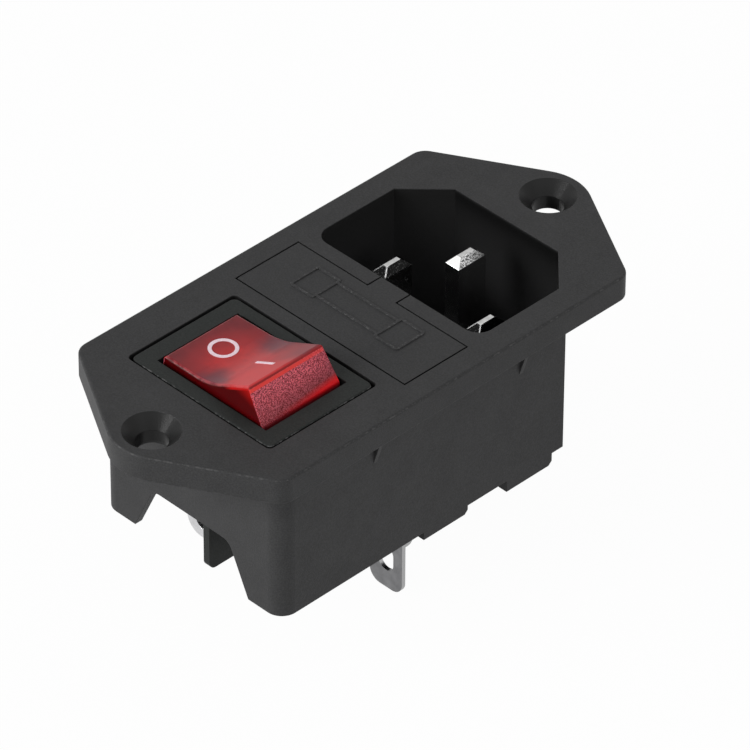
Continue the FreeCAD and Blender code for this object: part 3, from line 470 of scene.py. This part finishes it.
# Painted light and shade on the dished top: a glow in the middle and near the raised end, a lighter raised half,
# and shadow over the stems.
TOP_RIM_RED = (0.16, 0.002, 0.007, 1)
TOP_MIDDLE_PAINTED_GLOW = (0.53, 0.020, 0.022, 1)
TOP_MOTTLE_RED = (0.26, 0.012, 0.020, 1)
TOP_RAISED_PAINTED_LIGHT = (0.36, 0.040, 0.052, 1)
TOP_END_PAINTED_GLOW = (0.72, 0.020, 0.022, 1)
TOP_STEM_PAINTED_SHADOW = (0.15, 0.012, 0.026, 1)

# Painted shade on the long sides, painted light at the raised end's upper corner, and a painted highlight strip
# under the top edge.
SIDE_LOW_PAINTED_SHADE = (0.07, 0.0, 0.001, 1)
SIDE_HIGH_PAINTED_SHADE = (0.08, 0.0, 0.001, 1)
SIDE_CORNER_PAINTED_LIGHT = (0.36, 0.004, 0.003, 1)
SIDE_STRIP_PAINTED_HIGHLIGHT = (0.46, 0.006, 0.006, 1)

# The ends' frosted speckle, with painted shadow, painted shade, a painted highlight line and a painted glow at the
# foot.
END_DARK_RED = (0.22, 0.008, 0.016, 1)
END_DOT_RED = (1.0, 0.20, 0.26, 1)
END_SHADOW_RED = (0.12, 0.003, 0.006, 1)
END_FAR_PAINTED_SHADE = (0.22, 0.02, 0.04, 1)
END_LINE_PAINTED_HIGHLIGHT = (1.0, 0.065, 0.055, 1)
END_FOOT_PAINTED_GLOW = (0.90, 0.004, 0.010, 1)

BRIM_RED = (0.32, 0.008, 0.010, 1)
# Painted highlight along the upright corners.
CORNER_PAINTED_HIGHLIGHT = (0.55, 0.12, 0.13, 1)


def rocker_place(look):
    """Coordinates in the rocker's own frame, in metres."""
    mapping = look.node("ShaderNodeMapping", vector_type="TEXTURE")
    mapping.inputs["Location"].default_value = ROCKER_PIVOT
    mapping.inputs["Rotation"].default_value = (0, -ROCKER_TILT, 0)
    look.link(look.place, mapping.inputs["Vector"])
    return mapping.outputs["Vector"]


def rocker_top(look, place):
    """The dished top's red, with painted light and shadow: deepest at the rim, a painted glow in the middle and
    near the raised end, lighter on the raised half, and greyer with painted shadow over the plunger stems.
    """
    moved = look.wander(place, 1.6 * MM, (1.5 * MM, 1.5 * MM, 0))
    middle = look.spot(moved, (1.0 * MM, 0.3 * MM, 4 * MM), 2.0 * MM, 7.5 * MM)
    near_end = look.spot(moved, (6.4 * MM, -2.0 * MM, 6 * MM), 2.0 * MM, 6.0 * MM)
    red = look.blend(look.largest(middle, near_end), TOP_RIM_RED, TOP_MIDDLE_PAINTED_GLOW)
    mottled = look.span(look.noise(1.1 * MM, detail=3, place=place), 0.35, 0.7, 0.0, 0.35)
    red = look.blend(mottled, red, TOP_MOTTLE_RED)
    raised = look.product(look.span(look.axes(place)["X"], 1 * MM, 5 * MM), 0.35)
    red = look.blend(raised, red, TOP_RAISED_PAINTED_LIGHT)
    red = look.blend(look.product(near_end, 0.6), red, TOP_END_PAINTED_GLOW)
    far_stem = look.spot(moved, (1.3 * MM, 5.2 * MM, 5 * MM), 0.8 * MM, 3.4 * MM)
    near_stem = look.spot(moved, (0.9 * MM, -3.9 * MM, 5 * MM), 0.8 * MM, 3.0 * MM)
    return look.blend(look.largest(far_stem, near_stem), red, TOP_STEM_PAINTED_SHADOW)


def rocker_side(look, place):
    """Painted shade makes the long sides a dark clear red, with painted light at the raised end's upper corner and
    a painted highlight in a strip under the top edge.
    """
    along, _, height = look.axes(place)
    red = look.blend(look.span(along, -5 * MM, 5.5 * MM), SIDE_LOW_PAINTED_SHADE, SIDE_HIGH_PAINTED_SHADE)
    lift = look.total(look.product(along, 0.6), height)
    red = look.blend(look.span(lift, 7.2 * MM, 9.4 * MM, smooth=True), red, SIDE_CORNER_PAINTED_LIGHT)
    under_top = look.total(look.product(along, ROCKER_SLOPE), look.calculate("SUBTRACT", ROCKER_DIP, height))
    strip = look.product(look.within(under_top, 0.10 * MM, 0.42 * MM, 0.08 * MM),
                         look.span(along, 2.6 * MM, 3.8 * MM))
    return look.blend(strip, red, SIDE_STRIP_PAINTED_HIGHLIGHT)


def rocker_end(look, place):
    """The frosted ends: fine speckle, painted shadow low down, painted shade towards the far side, a painted
    bright line under the top edge and a painted red glow at the foot.
    """
    along, across, height = look.axes(place)
    raised = look.span(along, -1 * MM, 1 * MM)
    dots = look.span(look.noise(0.14 * MM, detail=3, roughness=0.7, place=place), 0.44, 0.56)
    red = look.blend(dots, END_DARK_RED, END_DOT_RED)
    shadow = look.product(look.span(height, 4.4 * MM, 2.0 * MM),
                          look.span(across, -5 * MM, 4 * MM, 0.6, 1.0), 0.8)
    red = look.blend(shadow, red, END_SHADOW_RED)
    red = look.blend(look.span(across, 2 * MM, 5.5 * MM, 0.0, 0.3), red, END_FAR_PAINTED_SHADE)
    line = look.product(look.within(height, 5.22 * MM, 5.52 * MM, 0.08 * MM), raised,
                        look.span(across, 1.5 * MM, 5.5 * MM, 1.0, 0.5))
    red = look.blend(line, red, END_LINE_PAINTED_HIGHLIGHT)
    level = look.total(height, look.product(across, -0.08))
    foot = look.product(look.below(level, 1.6 * MM, 0.7 * MM), raised,
                        look.span(across, -4 * MM, 3 * MM, 0.2, 1.0))
    return look.blend(foot, red, END_FOOT_PAINTED_GLOW)


def rocker_walls(look, place):
    """Masks of the rocker's ends, of the brim above them and of its sides."""
    along, across, height = look.axes(place)
    out = look.total(look.absolute(along), look.product(height, ROCKER_END_LEAN))
    outermost = look.above(out, ROCKER_END - 0.15 * MM, 0.12 * MM)
    end = look.product(outermost, look.below(height, ROCKER_BRIM, 0.10 * MM))
    brim = look.product(outermost, look.within(height, ROCKER_BRIM, ROCKER_BRIM + 0.14 * MM, 0.05 * MM))
    out = look.total(look.absolute(across), look.product(height, ROCKER_SIDE_LEAN))
    side = look.above(out, ROCKER_SIDE - 0.15 * MM, 0.12 * MM)
    return end, brim, side


def rocker_corner(look, place):
    """1 along the upright corners, broken by noise."""
    rounded = look.within(look.absolute(look.axes(look.facing)["Y"]), 0.3, 0.85, 0.1)
    raised = look.above(look.axes(place)["Z"], 2.4 * MM, 0.4 * MM)
    return look.product(rounded, raised, look.span(look.noise(0.5 * MM), 0.3, 0.6))


def rocker_red():
    """Clear red plastic with painted light and shade, as if lit from within the cap: dished top, painted shade on
    the sides, and frosted ends.
    """
    look = Look("rocker_red", Specular_IOR_Level=0.24, Subsurface_Weight=0.5,
                Subsurface_Radius=(1.0, 0.06, 0.05), Subsurface_Scale=0.3 * MM)
    place = rocker_place(look)
    end, brim, side = rocker_walls(look, place)
    red = look.blend(side, rocker_top(look, place), rocker_side(look, place))
    # A painted highlight along the upright corners.
    red = look.blend(look.product(rocker_corner(look, place), 0.4), red, CORNER_PAINTED_HIGHLIGHT)
    red = look.blend(end, red, rocker_end(look, place))
    look.colour(look.blend(brim, red, BRIM_RED))
    look.roughness(look.span(end, 0, 1, 0.30, 0.50))
    speckle = look.noise(0.12 * MM, detail=3, place=place)
    streak = look.noise(0.12 * MM, detail=2, place=place, stretch=(0.15, 1, 1))
    height = look.total(look.product(speckle, end), look.product(streak, 0.06))
    look.relief(height, 0.03 * MM, edge=0.08 * MM)
    return look.material


def mark_paint():
    """The rocker's filled marks, an off-white paint that the red tints."""
    look = Look("mark_paint", Specular_IOR_Level=0.4, Roughness=0.45)
    worn = look.span(look.noise(0.3 * MM, detail=3), 0.35, 0.7)
    look.colour(look.blend(worn, (0.95, 0.68, 0.76, 1), (0.98, 0.84, 0.91, 1)))
    look.relief(look.noise(0.1 * MM), 0.004 * MM)
    return look.material


# Metals

# The pins' colours by facing are painted reflections, and their edges get a painted highlight.
PIN_PLATE_DARK = grey(0.34)
PIN_PLATE_LIGHT = (0.62, 0.62, 0.61, 1)
PIN_WALL_DARK = grey(0.80)
PIN_WALL_LIGHT = (0.92, 0.92, 0.91, 1)
PIN_BEVEL_DARK = grey(0.010)
PIN_BEVEL_GRAIN = grey(0.22)
EARTH_BEVEL_DARK = grey(0.05)
EARTH_BEVEL_GRAIN = grey(0.75)
EARTH_END_PAINTED_HIGHLIGHT = (0.95, 0.95, 0.94, 1)
PIN_EDGE_PAINTED_HIGHLIGHT = grey(0.95)

TAB_BRIGHT_DARK = (0.56, 0.56, 0.57, 1)
TAB_BRIGHT_LIGHT = (0.70, 0.70, 0.71, 1)
TAB_DULL_DARK = (0.15, 0.15, 0.155, 1)
TAB_DULL_LIGHT = (0.21, 0.21, 0.215, 1)
TAB_SHEARED = grey(0.36)


def pin_bevels(look, earth):
    """Painted reflections on the long bevels and on the end bevels: dark and coarse, but bright on the earth pin.
    """
    _, along, height = look.axes(look.place)
    grain = look.noise(0.13 * MM, detail=2)
    dark = look.blend(look.span(grain, 0.62, 0.76), PIN_BEVEL_DARK, PIN_BEVEL_GRAIN)
    coarse = look.blend(look.span(grain, 0.40, 0.60), EARTH_BEVEL_DARK, EARTH_BEVEL_GRAIN)
    fades = look.span(look.total(along, look.product(height, -1.0)), 14.2 * MM, 17.4 * MM)
    coarse = look.blend(fades, coarse, dark)
    return look.blend(earth, dark, coarse), look.blend(earth, dark, EARTH_END_PAINTED_HIGHLIGHT)


def pin_metal():
    """Plated pins whose colours by facing are painted reflections: grey flat tips, bright walls, dark coarse
    bevels with painted highlights on their edges, and a bright earth bevel.
    """
    look = Look("pin_metal", Metallic=1.0)
    facing = look.axes(look.facing)
    _, along, height = look.axes(look.place)
    plate = look.blend(look.noise(0.5 * MM), PIN_PLATE_DARK, PIN_PLATE_LIGHT)
    wall = look.blend(look.noise(0.9 * MM), PIN_WALL_DARK, PIN_WALL_LIGHT)
    shade = look.blend(look.within(facing["Z"], -0.1, 0.1, 0.1), plate, wall)
    long_shade, end_shade = pin_bevels(look, earth=look.span(height, -0.5 * MM, 0.5 * MM))
    shade = look.blend(look.within(look.absolute(facing["X"]), 0.4, 0.9, 0.1), shade, long_shade)
    shade = look.blend(look.within(look.absolute(facing["Y"]), 0.4, 0.9, 0.1), shade, end_shade)
    # A painted highlight along the pins' edges.
    bright = look.product(look.edge_mask(0.24 * MM), look.below(along, 11.2 * MM, 0.6 * MM),
                          look.above(height, -1.75 * MM, 0.15 * MM))
    look.colour(look.blend(bright, shade, PIN_EDGE_PAINTED_HIGHLIGHT))
    lines = look.noise(0.1 * MM, detail=3, stretch=(1, 1, 0.3))
    look.roughness(look.span(lines, 0.3, 0.7, 0.08, 0.18))
    look.relief(lines, 0.004 * MM, edge=0.10 * MM)
    return look.material


def tab_metal():
    """Tinned tabs: bright in the switch, dull with light sheared edges on the fuse clips."""
    look = Look("tab_metal", Metallic=1.0)
    cloud = look.span(look.noise(1.2 * MM, detail=2), 0.3, 0.7)
    bright = look.blend(cloud, TAB_BRIGHT_DARK, TAB_BRIGHT_LIGHT)
    sheared = look.span(look.absolute(look.axes(look.facing)["X"]), 0.6, 0.8)
    dull = look.blend(sheared, look.blend(cloud, TAB_DULL_DARK, TAB_DULL_LIGHT), TAB_SHEARED)
    look.colour(look.blend(look.span(look.axes(look.place)["Y"], -8 * MM, -7 * MM), bright, dull))
    lines = look.noise(0.14 * MM, detail=3, stretch=(1, 1, 0.25))
    look.roughness(look.span(lines, 0.3, 0.7, 0.28, 0.42))
    look.relief(lines, 0.005 * MM, edge=0.06 * MM)
    return look.material


def drawn_metal(name, dark, light, polish, grain, stretch, depth, edge=0.0):
    """Metal with fine drawn lines; polish is its smoothest and its roughest."""
    look = Look(name, Metallic=1.0)
    lines = look.noise(grain, detail=3, stretch=stretch)
    cloud = look.span(look.noise(1.2 * MM, detail=2), 0.3, 0.7)
    look.colour(look.blend(cloud, dark, light))
    look.roughness(look.span(lines, 0.3, 0.7, *polish))
    look.relief(lines, depth, edge)
    return look.material


def cap_metal():
    return drawn_metal("cap_metal", dark=(0.76, 0.76, 0.77, 1), light=(0.86, 0.86, 0.87, 1),
                       polish=(0.14, 0.24), grain=0.12 * MM, stretch=(1, 0.3, 0.3),
                       depth=0.003 * MM, edge=0.08 * MM)


def lead_wire():
    return drawn_metal("lead_wire", dark=(0.64, 0.62, 0.60, 1), light=(0.76, 0.74, 0.72, 1),
                       polish=(0.25, 0.40), grain=0.05 * MM, stretch=(0.2, 1, 1), depth=0.002 * MM)


def plunger_brass():
    return drawn_metal("plunger_brass", dark=(0.66, 0.47, 0.20, 1), light=(0.82, 0.62, 0.30, 1),
                       polish=(0.22, 0.36), grain=0.06 * MM, stretch=(0.2, 0.2, 1),
                       depth=0.003 * MM, edge=0.05 * MM)


def spring_steel():
    return drawn_metal("spring_steel", dark=(0.48, 0.48, 0.50, 1), light=(0.62, 0.62, 0.64, 1),
                       polish=(0.22, 0.34), grain=0.05 * MM, stretch=(1, 1, 1), depth=0.001 * MM)


def lever_brass():
    return drawn_metal("lever_brass", dark=(0.70, 0.46, 0.22, 1), light=(0.84, 0.60, 0.34, 1),
                       polish=(0.24, 0.38), grain=0.08 * MM, stretch=(0.15, 1, 1),
                       depth=0.003 * MM, edge=0.05 * MM)


def contact_silver():
    return drawn_metal("contact_silver", dark=(0.80, 0.79, 0.76, 1), light=(0.92, 0.91, 0.88, 1),
                       polish=(0.18, 0.30), grain=0.08 * MM, stretch=(1, 1, 1),
                       depth=0.002 * MM, edge=0.06 * MM)


# Glass and lacquer

RESISTOR_DARK = (0.58, 0.44, 0.26, 1)
RESISTOR_LIGHT = (0.66, 0.52, 0.33, 1)
BAND_WIDTH = 0.3 * MM
BROWN_BAND = (2.5 * MM, (0.20, 0.07, 0.02, 1))
BLACK_BAND = (3.1 * MM, (0.01, 0.01, 0.01, 1))
YELLOW_BAND = (3.7 * MM, (0.80, 0.60, 0.05, 1))


def clear_glass(name, tint, haze):
    """Glass tube with faint drawn lines."""
    look = Look(name, Transmission_Weight=1.0, IOR=1.5)
    cloud = look.noise(1.5 * MM, detail=2)
    look.colour(look.blend(cloud, tint, (0.98, 0.99, 0.98, 1)))
    look.roughness(look.span(cloud, 0.3, 0.7, 0.02, haze))
    look.relief(look.noise(0.4 * MM, stretch=(0.2, 1, 1)), 0.002 * MM)
    return look.material


def fuse_glass():
    return clear_glass("fuse_glass", tint=(0.90, 0.95, 0.93, 1), haze=0.05)


def lamp_glass():
    return clear_glass("lamp_glass", tint=(0.96, 0.86, 0.78, 1), haze=0.08)


def resistor_body():
    """Beige lacquer with colour bands round it."""
    look = Look("resistor_body", Specular_IOR_Level=0.5, Roughness=0.35)
    along = look.axes(rocker_place(look))["X"]
    shade = look.blend(look.noise(0.5 * MM), RESISTOR_DARK, RESISTOR_LIGHT)
    for start, tone in (BROWN_BAND, BLACK_BAND, YELLOW_BAND):
        band = look.product(look.calculate("GREATER_THAN", along, start),
                            look.calculate("LESS_THAN", along, start + BAND_WIDTH))
        shade = look.blend(band, shade, tone)
    look.colour(shade)
    look.relief(look.noise(0.2 * MM), 0.004 * MM)
    return look.material


def dress_nodes():
    """Give each CAD node the look of its material slot."""
    makers = {maker.__name__: maker for maker in (
        housing_plastic, bezel_plastic, drawer_plastic, rocker_red, pin_metal, tab_metal, cap_metal,
        lead_wire, plunger_brass, spring_steel, lever_brass, contact_silver, fuse_glass, lamp_glass,
        resistor_body,
    )}
    looks = {}
    for part in frame["record"]["subparts"]:
        slot = part["material_slot"]
        if slot not in looks:
            looks[slot] = makers[slot]()
        item = frame["nodes"][part["node"]]
        item.data.materials.clear()
        item.data.materials.append(looks[slot])


def show(item):
    """Put an object in the scene."""
    bpy.context.scene.collection.objects.link(item)


# Marks on the rocker

def rocker_surface():
    """The rocker's surface, to be met by rays in its own frame."""
    mesh = bmesh.new()
    mesh.from_mesh(frame["nodes"]["rocker"].data)
    into = ROCKER_TURN.inverted() @ Matrix.Translation(-ROCKER_PIVOT)
    bmesh.ops.transform(mesh, matrix=into, verts=mesh.verts)
    tree = BVHTree.FromBMesh(mesh)
    mesh.free()
    return tree


def on_rocker(surface, across, along, lift):
    """A point above the rocker's dished top, in the module's frame."""
    hit = surface.ray_cast(Vector((across, along, ROCKER_TOP)), Vector((0, 0, -1)))[0]
    local = hit + Vector((0, 0, lift))
    return ROCKER_PIVOT + ROCKER_TURN @ local


def make_mark(name, rails, closed, paint):
    """A thin raised strip between two rails of points, with its sides sunk into the rocker."""
    surface = rocker_surface()
    mesh = bmesh.new()
    rows = []
    for rail in rails:
        for lift in (MARK_RISE, -MARK_SINK):
            rows.append([mesh.verts.new(on_rocker(surface, x, y, lift)) for x, y in rail])
    left_top, left_foot, right_top, right_foot = rows
    count = len(left_top)
    for index in range(count if closed else count - 1):
        after = (index + 1) % count
        for low, high in ((left_foot, left_top), (left_top, right_top), (right_top, right_foot)):
            mesh.faces.new((low[index], low[after], high[after], high[index]))
    if not closed:
        for index in (0, -1):
            mesh.faces.new([row[index] for row in (left_foot, left_top, right_top, right_foot)])
    bmesh.ops.recalc_face_normals(mesh, faces=mesh.faces)
    data = bpy.data.meshes.new(name)
    mesh.to_mesh(data)
    mesh.free()
    data.materials.append(paint)
    item = bpy.data.objects.new(name, data)
    show(item)
    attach(item, "rocker")


def make_marks():
    """The O and the dash."""
    paint = mark_paint()
    turns = [2 * math.pi * step / RING_STEPS for step in range(RING_STEPS)]
    rails = [
        [(RING_CENTRE[0] + radius * math.cos(turn), RING_CENTRE[1] + radius * math.sin(turn))
         for turn in turns]
        for radius in (RING_MIDDLE - RING_WIDTH / 2, RING_MIDDLE + RING_WIDTH / 2)
    ]
    make_mark("off_mark", rails, True, paint)
    steps = [DASH_LENGTH * (step / DASH_STEPS - 0.5) for step in range(DASH_STEPS + 1)]
    rails = [
        [(DASH_CENTRE[0] + step, DASH_CENTRE[1] + side) for step in steps]
        for side in (-DASH_WIDTH / 2, DASH_WIDTH / 2)
    ]
    make_mark("on_mark", rails, False, paint)


# Springs over the plungers

def make_coil(name):
    """A plunger's spring: a copy of the node's coil that rides with the rocker, in place of the hidden node."""
    node = frame["nodes"][f"plunger_spring_{name}"]
    coil = bpy.data.objects.new(f"coil_{name}", node.data.copy())
    show(coil)
    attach(coil, "rocker")
    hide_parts(node.name)
    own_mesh(coil)


# Stage, lights and camera

def seen_by_eye(tree):
    """1 for rays from the camera, off gloss or through glass, and 0 for light on the object."""
    path = tree.nodes.new("ShaderNodeLightPath")
    total = path.outputs["Is Camera Ray"]
    for name in ("Is Glossy Ray", "Is Transmission Ray"):
        node = tree.nodes.new("ShaderNodeMath")
        node.operation = "MAXIMUM"
        tree.links.new(total, node.inputs[0])
        tree.links.new(path.outputs[name], node.inputs[1])
        total = node.outputs[0]
    return total


def floor_material():
    """Pale and matt under the object's shadow, mixed with a white that only the eye sees."""
    material = bpy.data.materials.new("floor")
    material.use_nodes = True
    tree = material.node_tree
    shader = tree.nodes["Principled BSDF"]
    shader.inputs["Base Color"].default_value = FLOOR_COLOUR
    shader.inputs["Roughness"].default_value = FLOOR_ROUGHNESS
    shader.inputs["Specular IOR Level"].default_value = 0.0
    glow = tree.nodes.new("ShaderNodeEmission")
    glow.inputs["Strength"].default_value = 1.0
    share = tree.nodes.new("ShaderNodeMath")
    share.operation = "MULTIPLY"
    share.inputs[1].default_value = 1 - FLOOR_SHADOW_SHARE
    tree.links.new(seen_by_eye(tree), share.inputs[0])
    mix = tree.nodes.new("ShaderNodeMixShader")
    tree.links.new(share.outputs[0], mix.inputs[0])
    tree.links.new(shader.outputs[0], mix.inputs[1])
    tree.links.new(glow.outputs[0], mix.inputs[2])
    tree.links.new(mix.outputs[0], tree.nodes["Material Output"].inputs["Surface"])
    return material


def make_floor():
    """A pale floor that looks white to the eye and keeps a soft shadow."""
    half = FLOOR_SIZE / 2
    level = cad_box[0][2] - FLOOR_GAP
    corners = [(x * half, y * half, level) for x, y in ((-1, -1), (1, -1), (1, 1), (-1, 1))]
    data = bpy.data.meshes.new("floor")
    data.from_pydata(corners, [], [(0, 1, 2, 3)])
    data.materials.append(floor_material())
    floor = bpy.data.objects.new("floor", data)
    show(floor)


def make_world():
    """Even pale light, and white where the eye meets it."""
    world = bpy.data.worlds.new("studio")
    bpy.context.scene.world = world
    world.use_nodes = True
    tree = world.node_tree
    background = tree.nodes["Background"]
    background.inputs["Color"].default_value = (1, 1, 1, 1)
    strength = tree.nodes.new("ShaderNodeMapRange")
    tree.links.new(seen_by_eye(tree), strength.inputs["Value"])
    strength.inputs["To Min"].default_value = WORLD_STRENGTH
    strength.inputs["To Max"].default_value = 1.0
    tree.links.new(strength.outputs["Result"], background.inputs["Strength"])


def add_lamp(name, place, size, power):
    """A square soft lamp aimed at the module."""
    data = bpy.data.lights.new(name, "AREA")
    data.shape = "SQUARE"
    data.size = size
    data.energy = power
    lamp = bpy.data.objects.new(name, data)
    lamp.location = place
    lamp.rotation_euler = (-Vector(place)).to_track_quat("-Z", "Y").to_euler()
    show(lamp)


def make_lights():
    add_lamp("key", place=(-0.28, -0.70, 0.32), size=0.45, power=5.8)
    add_lamp("fill", place=(0.65, 0.0, 0.22), size=0.50, power=1.2)
    add_lamp("top", place=(0.0, 0.35, 0.80), size=0.50, power=0.6)


def make_camera():
    """A camera at the photograph's viewing angle."""
    data = bpy.data.cameras.new("photo_view")
    data.sensor_width = SENSOR_WIDTH
    data.lens = CAMERA_LENS
    data.clip_start = CAMERA_NEAR
    data.clip_end = CAMERA_FAR
    camera = bpy.data.objects.new("photo_view", data)
    towards = CAMERA_RIGHT.cross(CAMERA_UP)
    turn = Matrix((CAMERA_RIGHT, CAMERA_UP, towards)).transposed()
    camera.matrix_world = Matrix.Translation(CAMERA_PLACE) @ turn.to_4x4()
    show(camera)
    bpy.context.scene.camera = camera


dress_nodes()
make_marks()
make_coil("near")
make_coil("far")
make_floor()
make_world()
make_lights()
make_camera()
bpy.context.scene.view_settings.view_transform = "Standard"
